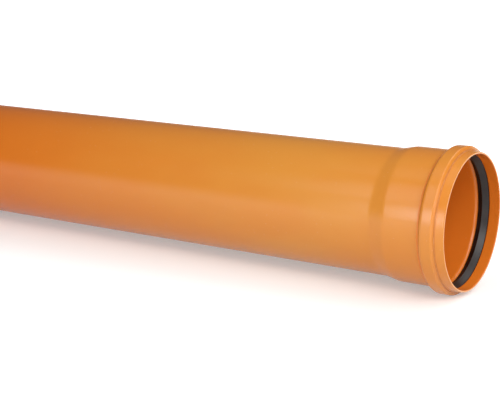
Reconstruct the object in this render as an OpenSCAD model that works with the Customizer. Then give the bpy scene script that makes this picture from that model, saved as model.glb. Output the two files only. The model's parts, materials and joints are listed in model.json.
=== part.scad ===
// Underground drain and sewer pipe in PVC-U, with a ring-seal socket formed on one end.
// The pipe lies level along +X. The origin is the centre of its plain end's face, and the
// mouth of the socket is at the far end. All sizes are in millimetres and degrees.
//
// Every outline is a list of corners [distance, radius, rounding], where the distance is
// measured along the pipe from the mouth of the socket and the radius from the pipe's axis.

/* [Barrel] */
// Outside diameter of the barrel
pipe_od = 160; // [140:1:200]
// Wall thickness of the barrel
pipe_wall = 4.0; // [3.6:0.1:5.0]
// Length that the pipe adds to a run: plain end to the end of the next pipe
laying_length = 1000; // [300:10:3000]

/* [Plain end] */
// Length of the outside chamfer, along the pipe
chamfer_length = 7; // [4:0.5:10]
// Slope of the chamfer against the pipe's axis
chamfer_slope = 15; // [10:1:18]

/* [Socket] */
// Depth from the mouth to where the next pipe's end stands
socket_depth = 84; // [80:1:110]
// Gap all round between the next pipe and the inside of the socket
socket_clearance = 0.25; // [0.15:0.05:0.6]
// Wall thickness of the socket, which forming has thinned
socket_wall = 3.6; // [3.4:0.1:4.4]
// Distance past the socket's depth at which the root taper ends
root_overrun = 14; // [12:0.5:20]
// Length of the root taper, between the corners of its two bends
root_length = 18; // [14:0.5:22]
// Bend radius of the wall's outside at both ends of the root taper
root_bend = 30; // [10:1:34]

/* [Collar in front of the bead] */
// Length of the collar between the mouth and the bead
collar_length = 11.4; // [8:0.1:14]
// Gap all round between the next pipe and the inside of the collar
collar_clearance = 2.2; // [0.25:0.05:2.8]
// Wall thickness at the mouth, towards which the collar thins
mouth_wall = 2.3; // [1.8:0.1:3.6]
// Rounding of the mouth's inner edge, which leads the next pipe in
mouth_lead_in = 1.0; // [0.5:0.1:1.2]
// Rounding of the mouth's outer edge
mouth_edge = 0.7; // [0.2:0.1:0.7]

/* [Bead round the seal groove] */
// Length of the bead, foot to foot
bead_length = 21.4; // [20:0.1:30]
// Height of the bead over the body of the socket
bead_height = 6.7; // [5:0.1:8]
// Slope of the bead's flank on the mouth side
front_slope = 64; // [50:1:70]
// Slope of the bead's flank on the pipe side
rear_slope = 54; // [44:1:60]
// Rounding of the bead's outside shoulder on the mouth side
front_shoulder_rounding = 1.8; // [1:0.1:5]
// Rounding of the bead's outside shoulder on the pipe side
rear_shoulder_rounding = 4.2; // [1:0.1:5]
// Rounding in the two outside creases at the bead's feet
crease_rounding = 0.8; // [0.5:0.1:2.5]
// Rounding of the groove's two bottom corners
groove_bottom_rounding = 2.0; // [1:0.1:3]
// Rounding of the inside edge between collar and groove
groove_front_rounding = 1.4; // [0.5:0.1:2]
// Rounding of the inside edge between groove and socket body
groove_rear_rounding = 6; // [2:0.5:8]

/* [Sealing ring] */
// Gap between the back of the ring and the groove
ring_gap = 0.2; // [0.1:0.05:0.4]
// Depth of the ring's nose behind the inside of the collar
nose_recess = 0.9; // [0.3:0.1:1.2]
// Distance that the relaxed lip stands in the next pipe's way
lip_squeeze = 2.0; // [1:0.1:3]
// Distance from the bead's front foot to the tip of the lip
lip_reach = 11.2; // [9.5:0.1:12]
// Thickness of the lip at its tip
lip_thickness = 1.4; // [1:0.1:2]
// Distance from the root of the lip's back to its tip, along the pipe
lip_undercut = 2.6; // [1.5:0.1:4]
// Thickness of the heel that fills the bottom of the groove
heel_thickness = 4.6; // [3:0.1:5]
// Rounding of the ring's edges
ring_rounding = 0.6; // [0.2:0.1:0.65]

/* [Hidden] */
$fn = 128;

// Most that one straight step of an arc turns, and the longest that it gets
arc_turn = 7.5;
arc_chord = 1.2;

barrel_r = pipe_od / 2;
bore_r = barrel_r - pipe_wall;
total_length = laying_length + socket_depth;
chamfer_drop = chamfer_length * tan(chamfer_slope);

socket_bore_r = barrel_r + socket_clearance;
socket_r = socket_bore_r + socket_wall;
root_end = socket_depth + root_overrun;
root_start = root_end - root_length;

collar_bore_r = barrel_r + collar_clearance;
collar_r = collar_bore_r + socket_wall;
mouth_r = collar_bore_r + mouth_wall;

bead_start = collar_length;
bead_end = bead_start + bead_length;
bead_r = socket_r + bead_height;
front_run = (bead_r - collar_r) / tan(front_slope);
rear_run = bead_height / tan(rear_slope);

lip_r = barrel_r - lip_squeeze;
nose_r = collar_bore_r + nose_recess;
groove_bottom_r = bead_r - socket_wall;
heel_r = groove_bottom_r - ring_gap - heel_thickness;
lip_tip = bead_start + lip_reach;
lip_root = lip_tip - lip_undercut;

// ---- outlines ----

function unit(v) = v / norm(v);

// Points of the arc that rounds the corner b between its neighbours a and c
function corner_arc(a, b, c, rounding) =
    let (
        back = unit(a - b),
        ahead = unit(c - b),
        half_angle = acos(back * ahead) / 2,
        tangent = rounding / tan(half_angle),
        centre = b + unit(back + ahead) * rounding / sin(half_angle),
        first = b + back * tangent,
        last = b + ahead * tangent,
        from = atan2(first[1] - centre[1], first[0] - centre[0]),
        to = atan2(last[1] - centre[1], last[0] - centre[0]),
        turn = (to - from + 540) % 360 - 180,
        arc_length = rounding * abs(turn) * PI / 180,
        steps = max(2, ceil(abs(turn) / arc_turn), ceil(arc_length / arc_chord))
    )
    concat(
        [first],
        [for (i = [1:steps - 1])
            let (angle = from + turn * i / steps)
            centre + rounding * [cos(angle), sin(angle)]],
        [last]
    );

function place(corner) = [corner[0], corner[1]];

// A closed outline with each corner rounded as its third number says
function rounded(corners) =
    let (count = len(corners))
    [for (i = [0:count - 1])
        let (
            before = place(corners[(i + count - 1) % count]),
            here = place(corners[i]),
            after = place(corners[(i + 1) % count])
        )
        each corners[i][2] > 0 ? corner_arc(before, here, after, corners[i][2]) : [here]];

// The four corners of the bead with their roundings, at a depth below its outside.
// The flanks move with the wall, so the wall is as thick on them as beside them.
function bead_corners(depth, front_foot, front_top, rear_top, rear_foot) =
    let (
        front_shift = depth * tan(front_slope / 2),
        rear_shift = depth * tan(rear_slope / 2)
    )
    [
        [bead_start + front_shift, collar_r - depth, front_foot],
        [bead_start + front_run + front_shift, bead_r - depth, front_top],
        [bead_end - rear_run - rear_shift, bead_r - depth, rear_top],
        [bead_end - rear_shift, socket_r - depth, rear_foot],
    ];

// Outside of the pipe, from the mouth to the plain end
outside_corners = concat(
    [[0, mouth_r, mouth_edge]],
    bead_corners(
        0, crease_rounding, front_shoulder_rounding, rear_shoulder_rounding, crease_rounding
    ),
    [
        [root_start, socket_r, root_bend],
        [root_end, barrel_r, root_bend],
        [total_length - chamfer_length, barrel_r, 0],
        [total_length, barrel_r - chamfer_drop, 0],
    ]
);

// Inside of the pipe, from the plain end back to the mouth
root_shift = socket_wall * tan(atan((socket_r - barrel_r) / root_length) / 2);
groove_corners = bead_corners(
    socket_wall,
    groove_front_rounding,
    groove_bottom_rounding,
    groove_bottom_rounding,
    groove_rear_rounding
);
inside_corners = [
    [total_length, bore_r, 0],
    [root_end - root_shift, bore_r, root_bend],
    [root_start - root_shift, socket_bore_r, root_bend],
    groove_corners[3],
    groove_corners[2],
    groove_corners[1],
    groove_corners[0],
    [0, collar_bore_r, mouth_lead_in],
];

// Back of the ring: the groove's outline moved inwards by the gap
ring_back = bead_corners(
    socket_wall + ring_gap, 0, groove_bottom_rounding, groove_bottom_rounding, 0
);

// Distances along the pipe at which the ring's flanks reach a radius
function front_flank_at(r) = ring_back[0][0] + (r - ring_back[0][1]) / tan(front_slope);
function rear_flank_at(r) = ring_back[3][0] - (r - ring_back[3][1]) / tan(rear_slope);

ring_corners = [
    [front_flank_at(nose_r), nose_r, ring_rounding],
    ring_back[1],
    ring_back[2],
    [rear_flank_at(heel_r), heel_r, ring_rounding],
    [lip_root, heel_r, ring_rounding],
    [lip_tip, lip_r + lip_thickness, ring_rounding],
    [lip_tip, lip_r, ring_rounding],
];

// ---- sub-parts ----

// Turns an outline round the pipe's axis, with the mouth at the far end
module turned(corners) {
    rotate([0, 90, 0])
        rotate_extrude()
            polygon([for (p = rounded(corners)) [p[1], total_length - p[0]]]);
}

// The pipe with its socket, one piece of extruded stock
module pipe() {
    color("chocolate")
        turned(concat(outside_corners, inside_corners));
}

// The rubber lip seal in the socket's groove
module sealing_ring() {
    color("dimgray")
        turned(ring_corners);
}

pipe();
sealing_ring();
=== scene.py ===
# %% [markdown]
# # A length of sewer pipe with a ring-seal socket
# Orange-brown drain pipe is extruded in PVC-U as one long tube. One end is then heated and
# formed over a mandrel: it widens through a taper into a socket, and near the mouth a bead is
# pressed out all round, so that a rubber ring can sit in the groove inside it. The other end is
# sawn square and chamfered, ready to be pushed into the next socket.
#
# This notebook rebuilds that look in Blender. The exact model is loaded first as a fixed frame,
# and every piece made here takes its sizes and its place from it.

import json
import math

import bpy
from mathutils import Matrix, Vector


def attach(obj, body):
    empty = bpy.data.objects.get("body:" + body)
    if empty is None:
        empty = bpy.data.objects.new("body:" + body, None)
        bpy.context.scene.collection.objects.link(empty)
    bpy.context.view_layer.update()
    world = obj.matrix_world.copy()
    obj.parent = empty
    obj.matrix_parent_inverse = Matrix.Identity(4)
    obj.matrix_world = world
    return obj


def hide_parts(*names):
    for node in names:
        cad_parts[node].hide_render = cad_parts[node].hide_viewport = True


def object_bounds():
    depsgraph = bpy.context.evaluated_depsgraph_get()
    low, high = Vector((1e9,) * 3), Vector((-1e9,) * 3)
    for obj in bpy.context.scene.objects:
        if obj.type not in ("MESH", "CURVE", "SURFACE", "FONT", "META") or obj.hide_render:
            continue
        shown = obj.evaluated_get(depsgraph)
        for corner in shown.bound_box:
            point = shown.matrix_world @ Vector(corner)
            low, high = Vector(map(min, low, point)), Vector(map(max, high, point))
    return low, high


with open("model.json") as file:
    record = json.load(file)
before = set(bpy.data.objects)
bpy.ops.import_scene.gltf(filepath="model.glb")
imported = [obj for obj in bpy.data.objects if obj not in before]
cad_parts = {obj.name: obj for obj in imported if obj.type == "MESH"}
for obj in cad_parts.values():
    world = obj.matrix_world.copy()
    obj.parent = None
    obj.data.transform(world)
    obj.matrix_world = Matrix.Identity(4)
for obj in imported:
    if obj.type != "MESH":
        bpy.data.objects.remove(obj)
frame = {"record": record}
cad_low, cad_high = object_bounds()
record = frame["record"]
print("exact model, lowest and highest corner:", tuple(cad_low), tuple(cad_high))

# %% [markdown]
# ## Sizes
# A socket only seals on a pipe of its own size, so the pipe's sizes are not chosen here. The
# overall length and the bead come from the exact model's box, and the barrel, the bore and the
# socket's collar from its mounts, which are the round walls that other pipes meet. The rest are
# the sizes of the forming tools. Everything is in metres, so tool sizes in millimetres are
# written as a number times MM.

# %% Read the sizes
MM = 0.001
mounts = {mount["name"]: mount for mount in record["mounts"]}
total_length = cad_high.x - cad_low.x
bead_top_r = cad_high.z
barrel_r = mounts["spigot"]["dims"]["r_mm"] * MM
bore_r = mounts["waterway"]["dims"]["r_mm"] * MM
collar_bore_r = mounts["socket"]["dims"]["r_mm"] * MM

socket_wall, socket_clearance = 3.6 * MM, 0.25 * MM
collar_r = collar_bore_r + socket_wall
socket_bore_r = barrel_r + socket_clearance
socket_r = socket_bore_r + socket_wall
print(f"barrel {barrel_r:.4f}, bore {bore_r:.4f}, socket {socket_r:.4f}, collar {collar_r:.4f}, "
      f"bead {bead_top_r:.4f}, {total_length:.3f} long")

# %% [markdown]
# ## An outline with rounded corners
# Both the pipe and its ring are the same all the way round, so each one is an outline that is
# turned about the pipe's axis. An outline is a list of corners. A corner is a distance from the
# mouth, a radius from the axis, and the rounding that the tool leaves on it. A modifier such as
# Bevel could round them too, but then every corner would get the same rounding. Here each
# corner becomes a short arc of its own, with enough points to keep the gloss smooth over it.

# %% Helpers for outlines
def unit(v):
    return v / v.length


def corner_arc(before, corner, after, rounding, turn_step=6.0):
    """Points of the arc that rounds a corner between its two neighbours."""
    back, ahead = unit(before - corner), unit(after - corner)
    half_angle = back.angle(ahead) / 2
    tangent = rounding / math.tan(half_angle)
    centre = corner + unit(back + ahead) * (rounding / math.sin(half_angle))
    first, last = corner + back * tangent - centre, corner + ahead * tangent - centre
    turn = first.angle_signed(last)
    steps = max(4, math.ceil(abs(math.degrees(turn)) / turn_step))
    start = math.atan2(first.y, first.x)
    angles = [start - turn * i / steps for i in range(steps + 1)]
    return [centre + rounding * Vector((math.cos(angle), math.sin(angle))) for angle in angles]


def rounded(corners):
    """A closed outline with each corner rounded as its third number says."""
    places = [Vector(corner[:2]) for corner in corners]
    points = []
    for i, corner in enumerate(corners):
        before, after = places[i - 1], places[(i + 1) % len(places)]
        if corner[2] > 0:
            points += corner_arc(before, places[i], after, corner[2])
        else:
            points.append(places[i])
    return points


def with_steps(points, longest, guard=0.3 * MM):
    """The same outline, with extra points along its straight runs. The first and the last of
    them are close to the run's ends, so that a corner's shading and marks stop there."""
    out = []
    for here, after in zip(points, points[1:] + points[:1]):
        run = after - here
        if run.length < 4 * guard:
            out.append(here)
            continue
        near, far = here + unit(run) * guard, after - unit(run) * guard
        count = max(1, math.ceil((far - near).length / longest))
        out += [here, *(near.lerp(far, i / count) for i in range(count + 1))]
    return out


# %% [markdown]
# ## The pipe's outline
# The bead is pressed out from inside, so its flanks are as thick as the wall beside them, and
# the groove inside is the bead's own shape moved inwards by one wall. The shoulder towards the
# mouth is tight, where the forming ring closes, and the one behind it is soft. The collar in
# front of the bead is wider than the socket behind it, so that the next pipe finds its way in,
# and it thins towards the mouth. The plain end has a 15 degree chamfer, which slides under the
# rubber lip, and its sawn edges are only broken.

# %% The bead and the groove
bead_start, bead_length = 11.4 * MM, 21.4 * MM
bead_end = bead_start + bead_length
front_slope, rear_slope = math.radians(64), math.radians(54)
front_run = (bead_top_r - collar_r) / math.tan(front_slope)
rear_run = (bead_top_r - socket_r) / math.tan(rear_slope)


def bead_corners(depth, front_foot, front_top, rear_top, rear_foot):
    """The bead's four corners with their roundings, at a depth below its outside."""
    front_shift = depth * math.tan(front_slope / 2)
    rear_shift = depth * math.tan(rear_slope / 2)
    return [
        (bead_start + front_shift, collar_r - depth, front_foot),
        (bead_start + front_run + front_shift, bead_top_r - depth, front_top),
        (bead_end - rear_run - rear_shift, bead_top_r - depth, rear_top),
        (bead_end - rear_shift, socket_r - depth, rear_foot),
    ]


# roundings of the bead's corners outside, and of the groove's corners inside
crease, front_shoulder, rear_shoulder = 0.8 * MM, 1.8 * MM, 4.2 * MM
groove_front, groove_bottom, groove_rear = 1.4 * MM, 2.0 * MM, 6.0 * MM
bead = bead_corners(0, crease, front_shoulder, rear_shoulder, crease)
groove = bead_corners(socket_wall, groove_front, groove_bottom, groove_bottom, groove_rear)

# %% Corners of the pipe
root_start, root_end, root_bend = 80 * MM, 98 * MM, 30 * MM
root_slope = math.atan((socket_r - barrel_r) / (root_end - root_start))
root_shift = socket_wall * math.tan(root_slope / 2)
chamfer_length, chamfer_slope = 7 * MM, math.radians(15)
chamfer_drop = chamfer_length * math.tan(chamfer_slope)
chamfer_shoulder, broken_edge = 1.2 * MM, 0.35 * MM
mouth_wall, mouth_edge, mouth_lead_in = 2.3 * MM, 0.7 * MM, 1.0 * MM

outside = [
    (0, collar_bore_r + mouth_wall, mouth_edge),
    *bead,
    (root_start, socket_r, root_bend),
    (root_end, barrel_r, root_bend),
    (total_length - chamfer_length, barrel_r, chamfer_shoulder),
    (total_length, barrel_r - chamfer_drop, broken_edge),
]
inside = [
    (total_length, bore_r, broken_edge),
    (root_end - root_shift, bore_r, root_bend),
    (root_start - root_shift, socket_bore_r, root_bend),
    *reversed(groove),
    (0, collar_bore_r, mouth_lead_in),
]
pipe_points = with_steps(rounded(outside + inside), longest=25 * MM)
print("the pipe's outline has", len(pipe_points), "points")

# %% [markdown]
# ## The ring's outline
# The ring is one piece of rubber: a heel that fills the bottom of the groove, and a lip that
# leans back from it and stands 2 mm in the next pipe's way, so that the pipe presses it shut.
# Its back is the groove's outline moved inwards by 0.2 mm, and its flanks end at the radii of
# its nose and its heel.

# %% Corners of the ring
ring_gap, heel, ring_edge = 0.2 * MM, 4.6 * MM, 0.6 * MM
nose_recess, lip_squeeze, lip_thickness = 0.9 * MM, 2.0 * MM, 1.4 * MM
lip_reach, lip_undercut = 11.2 * MM, 2.6 * MM
nose_r = collar_bore_r + nose_recess
heel_r = bead_top_r - socket_wall - ring_gap - heel
lip_r = barrel_r - lip_squeeze
lip_tip = bead_start + lip_reach
lip_root = lip_tip - lip_undercut
ring_back = bead_corners(socket_wall + ring_gap, 0, groove_bottom, groove_bottom, 0)


def flank_at(r, foot, slope):
    """How far along the pipe a flank has come when it reaches a radius."""
    return foot[0] + (r - foot[1]) / math.tan(slope)


ring_points = with_steps(rounded([
    (flank_at(nose_r, ring_back[0], front_slope), nose_r, ring_edge),
    ring_back[1],
    ring_back[2],
    (flank_at(heel_r, ring_back[3], -rear_slope), heel_r, ring_edge),
    (lip_root, heel_r, ring_edge),
    (lip_tip, lip_r + lip_thickness, ring_edge),
    (lip_tip, lip_r, ring_edge),
]), longest=1.5 * MM)
print("the ring's outline has", len(ring_points), "points")

# %% [markdown]
# ## What the outlines carry
# Geometry Nodes will turn the outlines, so each becomes a loop of points in the plane y = 0.
# A point also carries three marks for the finishes to read. "proud" runs from 0 on a flat or in
# a hollow to 1 where the outline bends outwards within a millimetre, because those corners
# scrape along the ground. "cut" is 1 on the faces that a saw or a chamfering tool has left,
# which are paler and rougher than the skin that came out of the die, and on the mouth's two
# rounded edges, where the paler colour is partly a painted highlight. The third mark is 1
# inside the pipe, where the finish paints shade.

# %% Make the outline meshes
MARKS = ("proud", "cut", "inside_shade")


def proud_bend(points, i, tight=1 * MM):
    """0 on a straight run or in a hollow, up to 1 where the outline bends outwards tightly."""
    arriving = points[i] - points[i - 1]
    leaving = points[(i + 1) % len(points)] - points[i]
    turn = leaving.angle_signed(arriving)
    radius = (arriving.length + leaving.length) / 2 / turn if turn > 0.001 else math.inf
    return min(1.0, tight / radius)


def is_cut(points, i, sliver=0.02 * MM, mouth_edges=2 * MM):
    """1 on the mouth's face and its two edges, and on the plain end's face and chamfer."""
    point = points[i]
    # the mouth's rounded edges are taken in too; there the pale cut colour is partly a painted
    # highlight
    at_mouth = point.x < sliver or (point.x < mouth_edges and proud_bend(points, i) > 0)
    chamfer_r = barrel_r - (point.x - total_length + chamfer_length) * math.tan(chamfer_slope)
    at_plain_end = point.x > total_length - sliver
    on_chamfer = point.x > total_length - chamfer_length and abs(point.y - chamfer_r) < sliver
    return float(at_mouth or at_plain_end or on_chamfer)


# the finish paints shade on the points that this marks
def is_inside_face(points, i):
    """1 inside the pipe, which is where the outline runs back towards the mouth."""
    return float(points[(i + 1) % len(points)].x < points[i - 1].x)


def outline_mesh(name, points):
    """A loop of points in the plane y = 0, each with its three marks."""
    mesh = bpy.data.meshes.new(name)
    places = [(total_length - p.x, 0, p.y) for p in points]
    loop = [(i, (i + 1) % len(points)) for i in range(len(points))]
    mesh.from_pydata(places, loop, [])
    marks = {
        "proud": [proud_bend(points, i) for i in range(len(points))],
        "cut": [is_cut(points, i) for i in range(len(points))],
        "inside_shade": [is_inside_face(points, i) for i in range(len(points))],
    }
    for mark, values in marks.items():
        mesh.attributes.new(mark, "FLOAT", "POINT").data.foreach_set("value", values)
    return mesh


pipe_outline = outline_mesh("pipe outline", pipe_points)
ring_outline = outline_mesh("ring outline", ring_points)
for mark in MARKS:
    marked = sum(item.value > 0 for item in pipe_outline.attributes[mark].data)
    print(f"{marked} points of the pipe's outline are {mark}")

# %% [markdown]
# ## Node trees written as text
# Every node tree below is built with the same few helpers. One adds a node, one adds a math
# step, and one starts a group with its named inputs and outputs. A tree then reads from top to
# bottom as its links run from left to right.

# %% Helpers for node trees
def add_node(tree, kind, **settings):
    node = tree.nodes.new(kind)
    for key, value in settings.items():
        setattr(node, key, value)
    return node


def feed(tree, socket, value):
    """Gives a socket either the output of another node or a plain value."""
    if isinstance(value, bpy.types.NodeSocket):
        tree.links.new(value, socket)
    else:
        socket.default_value = value


def math_node(tree, operation, *values):
    """One math step, fed by sockets or by plain numbers."""
    node = add_node(tree, "ShaderNodeMath", operation=operation)
    for socket, value in zip(node.inputs, values):
        feed(tree, socket, value)
    return node.outputs[0]


def new_group(kind, name, inputs, outputs):
    """An empty group with named inputs and outputs, and what each of them holds to begin with."""
    tree = bpy.data.node_groups.new(name, kind)
    for socket_name, socket_kind, value in inputs:
        socket = tree.interface.new_socket(socket_name, in_out="INPUT", socket_type=socket_kind)
        if value is not None:
            socket.default_value = value
    for socket_name, socket_kind in outputs:
        tree.interface.new_socket(socket_name, in_out="OUTPUT", socket_type=socket_kind)
    given = add_node(tree, "NodeGroupInput").outputs
    result = add_node(tree, "NodeGroupOutput").inputs
    return tree, given, result


# %% [markdown]
# ## A node tree that turns an outline
# Turning is a rule, so Geometry Nodes do it, as a lathe would. The tree lays out a flat grid
# with one column for each step round and one row for each point of the outline. Every grid
# point looks up its outline point by index and moves to it, turned by its column's share of a
# full circle, and takes over its marks. The seams are merged at the end, so the skin is closed.
#
# A formed pipe is never perfectly even. Ripple Height and Ripple Size let the wall wander by a
# tenth of a millimetre or so, which nobody would measure, but which makes a reflection waver as
# it does on real pipe. The wander only goes inwards, so the pipe never outgrows the model.

# %% Looking up and storing values
def look_up(tree, outline, value, index, data_type):
    """The value at one point of the outline."""
    node = add_node(tree, "GeometryNodeSampleIndex", data_type=data_type, domain="POINT")
    tree.links.new(outline, node.inputs["Geometry"])
    tree.links.new(value, node.inputs["Value"])
    tree.links.new(index, node.inputs["Index"])
    return node.outputs[0]


def store(tree, geometry, name, value):
    """The geometry, with a number for each of its points kept under a name."""
    node = add_node(tree, "GeometryNodeStoreNamedAttribute", data_type="FLOAT", domain="POINT")
    node.inputs["Name"].default_value = name
    tree.links.new(geometry, node.inputs["Geometry"])
    tree.links.new(value, node.inputs["Value"])
    return node.outputs[0]


def combine(tree, x=0.0, y=0.0, z=0.0):
    node = add_node(tree, "ShaderNodeCombineXYZ")
    for socket, value in zip(node.inputs, (x, y, z)):
        feed(tree, socket, value)
    return node.outputs[0]


# %% Where each grid point goes
def turned_place(tree, along, radius, angle):
    """A place at a distance along the pipe, a radius and an angle round it."""
    y = math_node(tree, "MULTIPLY", radius, math_node(tree, "SINE", angle))
    z = math_node(tree, "MULTIPLY", radius, math_node(tree, "COSINE", angle))
    return combine(tree, along, y, z)


def inward_wander(tree, place, height, size):
    """A smooth noise between 0 and minus the height."""
    noise = add_node(tree, "ShaderNodeTexNoise", noise_dimensions="3D")
    noise.inputs["Detail"].default_value = 1.0
    feed(tree, noise.inputs["Vector"], place)
    feed(tree, noise.inputs["Scale"], math_node(tree, "DIVIDE", 1.0, size))
    below = math_node(tree, "SUBTRACT", noise.outputs[0], 1.0)
    return math_node(tree, "MULTIPLY", below, height)


# %% Build the turning tree
def build_turning_tree():
    tree, given, result = new_group("GeometryNodeTree", "Turn an outline", [
        ("Outline", "NodeSocketGeometry", None),
        ("Steps Round", "NodeSocketInt", 256),
        ("Ripple Height", "NodeSocketFloat", 0.0),
        ("Ripple Size", "NodeSocketFloat", 0.08),
        ("Finish", "NodeSocketMaterial", None),
    ], [("Turned", "NodeSocketGeometry")])
    outline = given["Outline"]
    link = tree.links.new

    # one row for each outline point, and a last row that closes the loop on the first
    count = add_node(tree, "GeometryNodeAttributeDomainSize", component="MESH")
    link(outline, count.inputs["Geometry"])
    points_along = count.outputs["Point Count"]
    rows = math_node(tree, "ADD", points_along, 1)
    grid = add_node(tree, "GeometryNodeMeshGrid")
    link(math_node(tree, "ADD", given["Steps Round"], 1), grid.inputs["Vertices X"])
    link(rows, grid.inputs["Vertices Y"])

    # the grid counts its points up each column in turn
    index = add_node(tree, "GeometryNodeInputIndex").outputs[0]
    past_start = math_node(tree, "ADD", index, 0.5)
    column = math_node(tree, "FLOOR", math_node(tree, "DIVIDE", past_start, rows))
    row = math_node(tree, "SUBTRACT", index, math_node(tree, "MULTIPLY", column, rows))
    outline_index = math_node(tree, "MODULO", row, points_along)
    share_round = math_node(tree, "DIVIDE", column, given["Steps Round"])
    angle = math_node(tree, "MULTIPLY", share_round, 2 * math.pi)

    position = add_node(tree, "GeometryNodeInputPosition").outputs[0]
    parts = add_node(tree, "ShaderNodeSeparateXYZ")
    link(look_up(tree, outline, position, outline_index, "FLOAT_VECTOR"), parts.inputs[0])
    along, radius = parts.outputs["X"], parts.outputs["Z"]
    even_place = turned_place(tree, along, radius, angle)
    wander = inward_wander(tree, even_place, given["Ripple Height"], given["Ripple Size"])
    place = turned_place(tree, along, math_node(tree, "ADD", radius, wander), angle)

    skin = grid.outputs["Mesh"]
    for name in MARKS:
        carried = add_node(tree, "GeometryNodeInputNamedAttribute", data_type="FLOAT")
        carried.inputs["Name"].default_value = name
        value = look_up(tree, outline, carried.outputs[0], outline_index, "FLOAT")
        skin = store(tree, skin, name, value)

    move = add_node(tree, "GeometryNodeSetPosition")
    link(skin, move.inputs["Geometry"])
    link(place, move.inputs["Position"])
    merge = add_node(tree, "GeometryNodeMergeByDistance")
    merge.inputs["Distance"].default_value = 0.001 * MM
    smooth = add_node(tree, "GeometryNodeSetShadeSmooth")
    realize = add_node(tree, "GeometryNodeRealizeInstances")
    finish = add_node(tree, "GeometryNodeSetMaterial")
    link(given["Finish"], finish.inputs["Material"])
    steps = (move, merge, smooth, realize, finish)
    for step, after in zip(steps, steps[1:]):
        link(step.outputs[0], after.inputs["Geometry"])
    link(finish.outputs[0], result["Turned"])
    return tree


turning_tree = build_turning_tree()
print("turning tree:", len(turning_tree.nodes), "nodes")

# %% Turn an outline into a plain mesh
def turn(name, outline, finish, ripple_height, ripple_size, steps_round=256):
    """Runs the turning tree on an outline, and keeps the result as an ordinary mesh object."""
    maker = bpy.data.objects.new(name + "_outline", outline)
    bpy.context.scene.collection.objects.link(maker)
    modifier = maker.modifiers.new("turn", "NODES")
    modifier.node_group = turning_tree
    identifier = {item.name: item.identifier for item in turning_tree.interface.items_tree
                  if item.in_out == "INPUT"}
    modifier[identifier["Steps Round"]] = steps_round
    modifier[identifier["Ripple Height"]] = ripple_height
    modifier[identifier["Ripple Size"]] = ripple_size
    modifier[identifier["Finish"]] = finish
    evaluated = maker.evaluated_get(bpy.context.evaluated_depsgraph_get())
    mesh = bpy.data.meshes.new_from_object(evaluated)
    mesh.name = name
    bpy.data.objects.remove(maker)
    # the grid brings an empty first slot, so the finish becomes the only one
    mesh.materials.clear()
    mesh.materials.append(finish)
    mesh.polygons.foreach_set("material_index", [0] * len(mesh.polygons))
    piece = bpy.data.objects.new(name, mesh)
    bpy.context.scene.collection.objects.link(piece)
    print(f"{name}: {len(mesh.vertices)} points, {2 * len(mesh.polygons)} triangles")
    return piece

# %% [markdown]
# ## Effects that both finishes share
# PVC and rubber are both pressed through steel, mixed in batches and carried by hand, so they
# share four effects. Each is built once as a shader group and placed in both materials with its
# own values: a tone that drifts from patch to patch, the fine lines of a tool, edges rubbed by
# handling, and a little dust. A group only puts out colours and masks. The shader itself stays
# in each material, where its fixed numbers sit on its own sockets.

# %% Helpers for shader trees
def noise_at(tree, vector, scale, detail):
    node = add_node(tree, "ShaderNodeTexNoise", noise_dimensions="3D")
    feed(tree, node.inputs["Vector"], vector)
    feed(tree, node.inputs["Scale"], scale)
    node.inputs["Detail"].default_value = detail
    return node.outputs[0]


def smooth_step(tree, value, low, high, at_low=0.0, at_high=1.0):
    """Goes smoothly from at_low to at_high, as the value goes from low to high."""
    node = add_node(tree, "ShaderNodeMapRange", interpolation_type="SMOOTHSTEP")
    for socket, given in zip(node.inputs, (value, low, high, at_low, at_high)):
        feed(tree, socket, given)
    return node.outputs[0]


def mix_colours(tree, share, first, second):
    """Two colours mixed. A Mix node has its colours at inputs 6 and 7, and output 2."""
    node = add_node(tree, "ShaderNodeMix", data_type="RGBA")
    for place, value in ((0, share), (6, first), (7, second)):
        feed(tree, node.inputs[place], value)
    return node.outputs[2]


# %% Drifting tone
def build_drifting_tone():
    """Patches of a second tone in a first one."""
    tree, given, result = new_group("ShaderNodeTree", "drifting tone", [
        ("Tone", "NodeSocketColor", (0.5, 0.5, 0.5, 1)),
        ("Other Tone", "NodeSocketColor", (0.4, 0.4, 0.4, 1)),
        ("Vector", "NodeSocketVector", None),
        ("Patches per Metre", "NodeSocketFloat", 10.0),
    ], [("Colour", "NodeSocketColor"), ("Patches", "NodeSocketFloat")])
    noise = noise_at(tree, given["Vector"], given["Patches per Metre"], 3.0)
    patches = smooth_step(tree, noise, 0.3, 0.7)
    colour = mix_colours(tree, patches, given["Tone"], given["Other Tone"])
    tree.links.new(colour, result["Colour"])
    tree.links.new(patches, result["Patches"])
    return tree


# %% Tool lines
def build_tool_lines():
    """Fine lines for the bump, and broad streaks in which the gloss changes a little."""
    tree, given, result = new_group("ShaderNodeTree", "tool lines", [
        ("Vector", "NodeSocketVector", None),
        ("Lines per Metre", "NodeSocketFloat", 600.0),
    ], [("Lines", "NodeSocketFloat"), ("Streaks", "NodeSocketFloat")])
    lines = noise_at(tree, given["Vector"], given["Lines per Metre"], 2.0)
    streaks_per_metre = math_node(tree, "MULTIPLY", given["Lines per Metre"], 0.15)
    broad = noise_at(tree, given["Vector"], streaks_per_metre, 2.0)
    tree.links.new(lines, result["Lines"])
    tree.links.new(smooth_step(tree, broad, 0.3, 0.7), result["Streaks"])
    return tree


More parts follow.
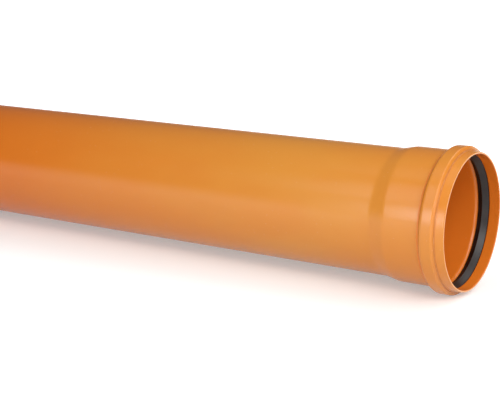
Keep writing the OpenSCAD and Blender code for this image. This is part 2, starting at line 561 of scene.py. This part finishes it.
# %% Rubbed edges
def build_rubbed_edges():
    """Shows where a corner stands out far enough, broken up by noise."""
    tree, given, result = new_group("ShaderNodeTree", "rubbed edges", [
        ("Proud", "NodeSocketFloat", 0.0),
        ("Vector", "NodeSocketVector", None),
        ("Breaks per Metre", "NodeSocketFloat", 200.0),
        ("Amount", "NodeSocketFloat", 0.5),
    ], [("Rubbed", "NodeSocketFloat")])
    breaks = noise_at(tree, given["Vector"], given["Breaks per Metre"], 4.0)
    reach = math_node(tree, "MULTIPLY", given["Proud"], given["Amount"])
    past = math_node(tree, "SUBTRACT", math_node(tree, "ADD", reach, breaks), 1.0)
    tree.links.new(smooth_step(tree, past, 0.0, 0.35), result["Rubbed"])
    return tree


# %% Dust
def build_dust():
    """Small round specks, in drifts. Amount is the share of the possible specks that show."""
    tree, given, result = new_group("ShaderNodeTree", "dust", [
        ("Vector", "NodeSocketVector", None),
        ("Specks per Metre", "NodeSocketFloat", 300.0),
        ("Amount", "NodeSocketFloat", 0.3),
    ], [("Dust", "NodeSocketFloat")])
    cells = add_node(tree, "ShaderNodeTexVoronoi", feature="F1")
    tree.links.new(given["Vector"], cells.inputs["Vector"])
    tree.links.new(given["Specks per Metre"], cells.inputs["Scale"])
    speck = smooth_step(tree, cells.outputs["Distance"], 0.0, 0.25, 1.0, 0.0)
    chance = add_node(tree, "ShaderNodeSeparateColor")
    tree.links.new(cells.outputs["Color"], chance.inputs[0])
    chosen = math_node(tree, "LESS_THAN", chance.outputs[0], given["Amount"])
    drifts = smooth_step(tree, noise_at(tree, given["Vector"], 15.0, 2.0), 0.35, 0.65)
    settled = math_node(tree, "MULTIPLY", chosen, drifts)
    tree.links.new(math_node(tree, "MULTIPLY", speck, settled), result["Dust"])
    return tree


drifting_tone = build_drifting_tone()
tool_lines = build_tool_lines()
rubbed_edges = build_rubbed_edges()
dust = build_dust()
shared_effects = (drifting_tone, tool_lines, rubbed_edges, dust)
print("shared effects:", ", ".join(effect.name for effect in shared_effects))

# %% Helpers for materials
def new_material(name):
    """A material, its node tree and its Principled shader, for a finish to fill in."""
    material = bpy.data.materials.new(name)
    material.use_nodes = True
    tree = material.node_tree
    shader = next(node for node in tree.nodes if node.type == "BSDF_PRINCIPLED")
    return material, tree, shader


def place_group(tree, group, values):
    """A shared effect placed in a material, with a value for each named input."""
    node = add_node(tree, "ShaderNodeGroup", node_tree=group)
    for name, value in values.items():
        feed(tree, node.inputs[name], value)
    return node.outputs


def mark(tree, name):
    """One of the marks that the outline carries."""
    return add_node(tree, "ShaderNodeAttribute", attribute_name=name).outputs["Fac"]


def covered(tree, colour, *layers):
    """A colour under layers of others. Each layer has its mask, its share there and its tone."""
    for mask, share, tone in layers:
        colour = mix_colours(tree, math_node(tree, "MULTIPLY", mask, share), colour, tone)
    return colour


def plus(tree, base, *effects):
    """A base value, and each effect's mask times its amount on top."""
    total = base
    for mask, amount in effects:
        total = math_node(tree, "MULTIPLY_ADD", mask, amount, total)
    return total


# %% Directions for a pattern
def drawn_out(tree, here, stretch=0.01):
    """Coordinates in which a pattern is drawn out along the pipe."""
    node = add_node(tree, "ShaderNodeMapping")
    node.inputs["Scale"].default_value = (stretch, 1, 1)
    tree.links.new(here, node.inputs["Vector"])
    return node.outputs[0]


def ringed(tree, here):
    """Coordinates in which a pattern goes round the pipe: how far along it, and how far out."""
    parts = add_node(tree, "ShaderNodeSeparateXYZ")
    tree.links.new(here, parts.inputs[0])
    across = combine(tree, 0.0, parts.outputs["Y"], parts.outputs["Z"])
    length = add_node(tree, "ShaderNodeVectorMath", operation="LENGTH")
    tree.links.new(across, length.inputs[0])
    return combine(tree, parts.outputs["X"], length.outputs["Value"])


def close_to(tree, here, corner, reach):
    """1 on a corner of the pipe's outline, falling to 0 at a distance from it, all round."""
    distance = add_node(tree, "ShaderNodeVectorMath", operation="DISTANCE")
    tree.links.new(ringed(tree, here), distance.inputs[0])
    distance.inputs[1].default_value = (total_length - corner[0], corner[1], 0)
    return smooth_step(tree, distance.outputs["Value"], 0.0, reach, 1.0, 0.0)


def slow_wave(tree, here, length, crest):
    """A wave along the pipe, between 0 and 1, with its crest at a distance from the plain end."""
    parts = add_node(tree, "ShaderNodeSeparateXYZ")
    tree.links.new(here, parts.inputs[0])
    from_crest = math_node(tree, "SUBTRACT", parts.outputs["X"], crest)
    wave = math_node(tree, "COSINE", math_node(tree, "MULTIPLY", from_crest, 2 * math.pi / length))
    return math_node(tree, "MULTIPLY_ADD", wave, 0.5, 0.5)


def bump(tree, height, depth):
    """A normal from a height between 0 and 1, with its real depth in metres."""
    node = add_node(tree, "ShaderNodeBump")
    node.inputs["Distance"].default_value = depth
    tree.links.new(height, node.inputs["Height"])
    return node.outputs[0]


# %% [markdown]
# ## The PVC's finish
# PVC-U leaves the die with a satin skin that is never one flat colour. The pigment is not
# perfectly mixed, so the tone drifts between a yellower and a redder orange over a hand's
# width. Over more than a metre the orange also runs darker and paler: it is palest at the lit
# spot by the socket and darkest near the plain end, as painted shade where the light falls
# off. The inside is painted a darker, redder orange, as painted shade and painted orange
# bounce light inside the bore. The die draws faint lines along the pipe, which break up the
# gloss. The sawn faces and the chamfer lack that skin: they are paler, duller, and ringed by
# the blade that went round them. At the mouth the paler colour also covers the two rounded
# edges, and there and on the mouth's face it is partly a painted highlight. Everything reads
# Object coordinates, which run in metres from the plain end, so a line or a patch has its
# real size.
#
# The two creases at the bead's feet are painted darker all round, as painted shade: a redder,
# darker orange in the crease behind the bead, and a browner one in the crease in front of it.
# Both are also duller than the skin.

# %% Satin PVC
ORANGE = (0.665, 0.260, 0.037, 1)
REDDER_ORANGE = (0.66, 0.235, 0.031, 1)
# painted shade: a darker orange for where the light falls off towards the plain end
FALLOFF_SHADE_ORANGE = (0.68, 0.160, 0.009, 1)
# painted shade and painted orange bounce light inside the bore
INSIDE_SHADE_ORANGE = (0.72, 0.188, 0.017, 1)
# painted shade for the creases behind and in front of the bead
REAR_CREASE_SHADE = (0.70, 0.170, 0.010, 1)
FRONT_CREASE_SHADE = (0.44, 0.125, 0.008, 1)
# the paler colour of the cut faces, which at the mouth and its rounded edges is partly a painted
# highlight
PALE_CUT_AND_HIGHLIGHT = (0.88, 0.52, 0.26, 1)
SCUFFED = (0.82, 0.46, 0.24, 1)
PALE_DUST = (0.72, 0.60, 0.46, 1)
FRONT_CREASE_REACH, REAR_CREASE_REACH = 2.2 * MM, 3.0 * MM


def satin_pvc():
    material, tree, shader = new_material("satin orange brown PVC")
    here = add_node(tree, "ShaderNodeTexCoord").outputs["Object"]
    cut = mark(tree, "cut")
    # painted shade: palest at the lit spot by the socket, darkest near the plain end, where the
    # light falls off
    falloff_shade = slow_wave(tree, here, length=1.4, crest=0.2)
    # painted shade: the inside of the pipe gets a darker, redder orange
    inside_shade = mark(tree, "inside_shade")
    tones = [mix_colours(tree, inside_shade, mix_colours(tree, falloff_shade, outside, FALLOFF_SHADE_ORANGE),
                         INSIDE_SHADE_ORANGE) for outside in (ORANGE, REDDER_ORANGE)]
    tone = place_group(tree, drifting_tone, {
        "Tone": tones[0], "Other Tone": tones[1],
        "Vector": drawn_out(tree, here, stretch=0.4), "Patches per Metre": 16.0})
    die = place_group(tree, tool_lines, {
        "Vector": drawn_out(tree, here), "Lines per Metre": 700.0})
    blade = place_group(tree, tool_lines, {
        "Vector": ringed(tree, here), "Lines per Metre": 2500.0})
    rubbed = place_group(tree, rubbed_edges, {
        "Proud": mark(tree, "proud"), "Vector": here,
        "Breaks per Metre": 120.0, "Amount": 0.7})["Rubbed"]
    dusty = place_group(tree, dust, {
        "Vector": here, "Specks per Metre": 350.0, "Amount": 0.08})["Dust"]
    # painted shade: the two creases at the bead's feet are darkened all round
    front_crease = close_to(tree, here, bead[0], FRONT_CREASE_REACH)
    rear_crease = close_to(tree, here, bead[3], REAR_CREASE_REACH)

    colour = covered(
        # painted shade in the two creases
        tree, tone["Colour"], (rear_crease, 0.8, REAR_CREASE_SHADE), (front_crease, 0.8, FRONT_CREASE_SHADE),
        # at the mouth and its rounded edges, the pale cut colour is partly a painted highlight
        (cut, 0.75, PALE_CUT_AND_HIGHLIGHT), (rubbed, 0.35, SCUFFED), (dusty, 0.3, PALE_DUST))
    tree.links.new(colour, shader.inputs["Base Color"])
    shader.inputs["Specular IOR Level"].default_value = 0.45
    roughness = plus(tree, 0.23, (die["Streaks"], 0.03), (cut, 0.2), (rubbed, 0.12), (dusty, 0.1),
                     (front_crease, 0.2), (rear_crease, 0.2))
    tree.links.new(roughness, shader.inputs["Roughness"])
    ringed_share = math_node(tree, "SUBTRACT", blade["Lines"], die["Lines"])
    height = plus(tree, die["Lines"], (cut, ringed_share))
    tree.links.new(bump(tree, height, depth=0.008 * MM), shader.inputs["Normal"])
    return material


pvc = satin_pvc()
print(pvc.name, "has", len(pvc.node_tree.nodes), "nodes")

# %% [markdown]
# ## The rubber's finish
# The ring is pressed from black synthetic rubber. It is not pure black: its surface carries a
# grey bloom in patches, and the mould leaves fine rings round it. Both its black and its bloom
# are tinted warm, as painted orange bounce light from the pipe. It is softer in its gloss than
# the PVC, so it answers the same light with a broad grey sheen.

# %% Bloomed rubber
# both tints are warm, as painted orange bounce light from the pipe
BLACK_WITH_PAINTED_BOUNCE = (0.011, 0.006, 0.004, 1)
GREY_BLOOM_WITH_PAINTED_BOUNCE = (0.019, 0.012, 0.009, 1)
RUBBED_GREY = (0.07, 0.067, 0.067, 1)
GREY_DUST = (0.25, 0.21, 0.18, 1)


def bloomed_rubber():
    material, tree, shader = new_material("black seal rubber")
    here = add_node(tree, "ShaderNodeTexCoord").outputs["Object"]
    # the warm cast of both tones is painted orange bounce light
    tone = place_group(tree, drifting_tone, {
        "Tone": BLACK_WITH_PAINTED_BOUNCE, "Other Tone": GREY_BLOOM_WITH_PAINTED_BOUNCE,
        "Vector": here, "Patches per Metre": 60.0})
    mould = place_group(tree, tool_lines, {
        "Vector": ringed(tree, here), "Lines per Metre": 1500.0})
    rubbed = place_group(tree, rubbed_edges, {
        "Proud": mark(tree, "proud"), "Vector": here,
        "Breaks per Metre": 250.0, "Amount": 0.5})["Rubbed"]
    dusty = place_group(tree, dust, {
        "Vector": here, "Specks per Metre": 600.0, "Amount": 0.1})["Dust"]

    colour = covered(
        tree, tone["Colour"], (rubbed, 0.4, RUBBED_GREY), (dusty, 0.3, GREY_DUST))
    tree.links.new(colour, shader.inputs["Base Color"])
    shader.inputs["Specular IOR Level"].default_value = 0.36
    roughness = plus(tree, 0.29, (tone["Patches"], 0.08), (mould["Streaks"], 0.04), (dusty, 0.1))
    tree.links.new(roughness, shader.inputs["Roughness"])
    tree.links.new(bump(tree, mould["Lines"], depth=0.01 * MM), shader.inputs["Normal"])
    return material


rubber = bloomed_rubber()
print(rubber.name, "has", len(rubber.node_tree.nodes), "nodes")

# %% [markdown]
# ## The two pieces
# Both outlines go through the same tree.

# %% Make the pipe and its ring
RIPPLE = dict(ripple_height=0.12 * MM, ripple_size=80 * MM)
pieces = [
    (turn("sewer_pipe", pipe_outline, pvc, **RIPPLE), "pipe", "pvc"),
    (turn("lip_seal", ring_outline, rubber, **RIPPLE), "sealing_ring", "seal_rubber"),
]
for piece, node, slot in pieces:
    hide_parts(node)
    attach(piece, "root")

# %% [markdown]
# ## The floor
# The pipe lies on a plain pale floor, with its bead touching it. The floor is a matt white
# that takes a soft shadow. It also glows a little, more so away from the pipe, where no shadow
# has to show. The glow is there only for the rays that the camera, a gloss or a pane would see,
# so that the floor reads as white without throwing extra light at the pipe. Far off, the floor
# turns up into a low wall of the same white, which hides the horizon from a low eye.

# %% Floor
FLOOR_WHITE = (0.8, 0.8, 0.8, 1)
GLOW_BY_THE_PIPE, GLOW_FAR_AWAY = 0.32, 1.0
# the distances from the pipe, in metres, between which the glow rises
BY_THE_PIPE, FAR_AWAY = 0.06, 0.7


def seen_directly(tree):
    """1 for the rays of the camera, of a reflection and of a transparent thing, else 0."""
    rays = add_node(tree, "ShaderNodeLightPath").outputs
    camera_or_gloss = math_node(tree, "MAXIMUM", rays["Is Camera Ray"], rays["Is Glossy Ray"])
    return math_node(tree, "MAXIMUM", camera_or_gloss, rays["Is Transmission Ray"])


def white_floor():
    material = bpy.data.materials.new("matt white floor")
    material.use_nodes = True
    tree = material.node_tree
    tree.nodes.clear()
    paint = add_node(tree, "ShaderNodeBsdfDiffuse")
    paint.inputs["Color"].default_value = FLOOR_WHITE
    glow = add_node(tree, "ShaderNodeEmission")
    parts = add_node(tree, "ShaderNodeSeparateXYZ")
    tree.links.new(add_node(tree, "ShaderNodeTexCoord").outputs["Object"], parts.inputs[0])
    from_middle = math_node(tree, "ABSOLUTE",
                            math_node(tree, "SUBTRACT", parts.outputs["X"], total_length / 2))
    past_the_end = math_node(tree, "SUBTRACT", from_middle, total_length / 2)
    aside = combine(tree, math_node(tree, "MAXIMUM", past_the_end, 0.0), parts.outputs["Y"])
    distance = add_node(tree, "ShaderNodeVectorMath", operation="LENGTH")
    tree.links.new(aside, distance.inputs[0])
    rise = smooth_step(tree, distance.outputs["Value"], BY_THE_PIPE, FAR_AWAY,
                       GLOW_BY_THE_PIPE, GLOW_FAR_AWAY)
    strength = math_node(tree, "MULTIPLY", seen_directly(tree), rise)
    tree.links.new(strength, glow.inputs["Strength"])
    both = add_node(tree, "ShaderNodeAddShader")
    tree.links.new(paint.outputs[0], both.inputs[0])
    tree.links.new(glow.outputs[0], both.inputs[1])
    surface = add_node(tree, "ShaderNodeOutputMaterial")
    tree.links.new(both.outputs[0], surface.inputs["Surface"])
    return material


floor_z = cad_low.z
half_floor, wall_height = 30, 3.5
floor_mesh = bpy.data.meshes.new("floor")
floor_mesh.from_pydata(
    [(x * half_floor, y * half_floor, z) for z in (floor_z, floor_z + wall_height)
     for x, y in ((-1, -1), (1, -1), (1, 1), (-1, 1))],
    [], [(0, 1, 2, 3), (0, 4, 5, 1), (1, 5, 6, 2), (2, 6, 7, 3), (3, 7, 4, 0)])
floor_mesh.materials.append(white_floor())
floor = bpy.data.objects.new("floor", floor_mesh)
bpy.context.scene.collection.objects.link(floor)
print("the floor is at", round(floor_z, 4))

# %% [markdown]
# ## The studio's light
# A satin skin shows the shape of every lamp as a soft band, so softboxes are used and no bare
# bulbs. Each has one job:
#
# - The key box stands well back beside the mouth, so that it lights the whole length evenly.
# - The tall and the narrow box are where the socket throws its reflection back at the camera.
#   They draw its highlight, and as they are narrow, the taper beside it stays without one.
# - The side box draws the pale line in the groove beside the ring, and the low box lights the
#   inside from the right.
# - The front box gives the ring's lip its gleam.
# - The high and the top box lift the upper side, and the back box lights the far side.
#
# A plain grey world fills what is left. Each lamp's level says how bright it makes a surface
# that faces it at the socket, where 1 is what a white world of strength 1 would give. No surface
# faces more than some of the boxes, so what reaches it adds up to about 1, and a colour renders
# much as it is written.

# %% World
WORLD_LEVEL = 0.14


def plain_world():
    world = bpy.data.worlds.new("studio")
    world.use_nodes = True
    tree = world.node_tree
    tree.nodes.clear()
    sky = add_node(tree, "ShaderNodeBackground")
    sky.inputs["Color"].default_value = (1, 1, 1, 1)
    sky.inputs["Strength"].default_value = WORLD_LEVEL
    surface = add_node(tree, "ShaderNodeOutputWorld")
    tree.links.new(sky.outputs[0], surface.inputs["Surface"])
    return world


bpy.context.scene.world = plain_world()

# %% Softboxes
behind_the_mouth = 184 * MM
lit_spot = Vector((total_length - behind_the_mouth, 0, 0))


def softbox(name, turned, raised, distance, width, height, level):
    """A box that faces the lit spot. Its two angles are in degrees: from straight in front (-Y)
    round towards the mouth (+X), and up from level."""
    turned, raised = math.radians(turned), math.radians(raised)
    away = Vector((math.sin(turned) * math.cos(raised), -math.cos(turned) * math.cos(raised),
                   math.sin(raised)))
    lamp = bpy.data.lights.new(name, "AREA")
    lamp.shape, lamp.size, lamp.size_y = "RECTANGLE", width, height
    lamp.energy = level * (math.pi * distance) ** 2
    holder = bpy.data.objects.new(name, lamp)
    holder.location = lit_spot + away * distance
    holder.rotation_euler = away.to_track_quat("Z", "Y").to_euler()
    bpy.context.scene.collection.objects.link(holder)
    print(f"{name}: {lamp.energy:.1f} W at {tuple(round(v, 2) for v in holder.location)}")


softbox("key box", turned=52, raised=32, distance=2.6, width=1.6, height=1.4, level=0.52)
softbox("side box", turned=90, raised=38, distance=1.4, width=0.8, height=0.8, level=0.26)
softbox("low box", turned=104, raised=4, distance=1.4, width=0.4, height=0.4, level=0.07)
softbox("tall box", turned=-14, raised=14, distance=1.8, width=0.4, height=0.6, level=0.195)
softbox("narrow box", turned=-8, raised=10, distance=1.8, width=0.16, height=0.6, level=0.09)
softbox("front box", turned=31, raised=6, distance=1.6, width=0.35, height=0.25, level=0.09)
softbox("high box", turned=-26, raised=42, distance=1.6, width=0.35, height=0.8, level=0.08)
softbox("top box", turned=-30, raised=80, distance=2.4, width=1.6, height=1.3, level=0.09)
softbox("back box", turned=150, raised=55, distance=2.6, width=1.9, height=1.6, level=0.31)

# %% [markdown]
# ## The camera
# It stands in front of the mouth and a little above it, and looks back along the pipe. A long
# lens keeps the mouth from swelling, and the plain end lies outside the frame.

# %% Camera
camera = bpy.data.cameras.new("camera")
camera.lens, camera.sensor_width = 88.5, 36
turned_left, looks_down = math.radians(33.32), math.radians(12.44)
eye = bpy.data.objects.new("camera", camera)
eye.location = (1.6448, -1.3377, 0.3419)
eye.rotation_euler = (math.radians(90) - looks_down, 0, turned_left)
bpy.context.scene.collection.objects.link(eye)
bpy.context.scene.camera = eye
bpy.context.scene.view_settings.view_transform = "Standard"
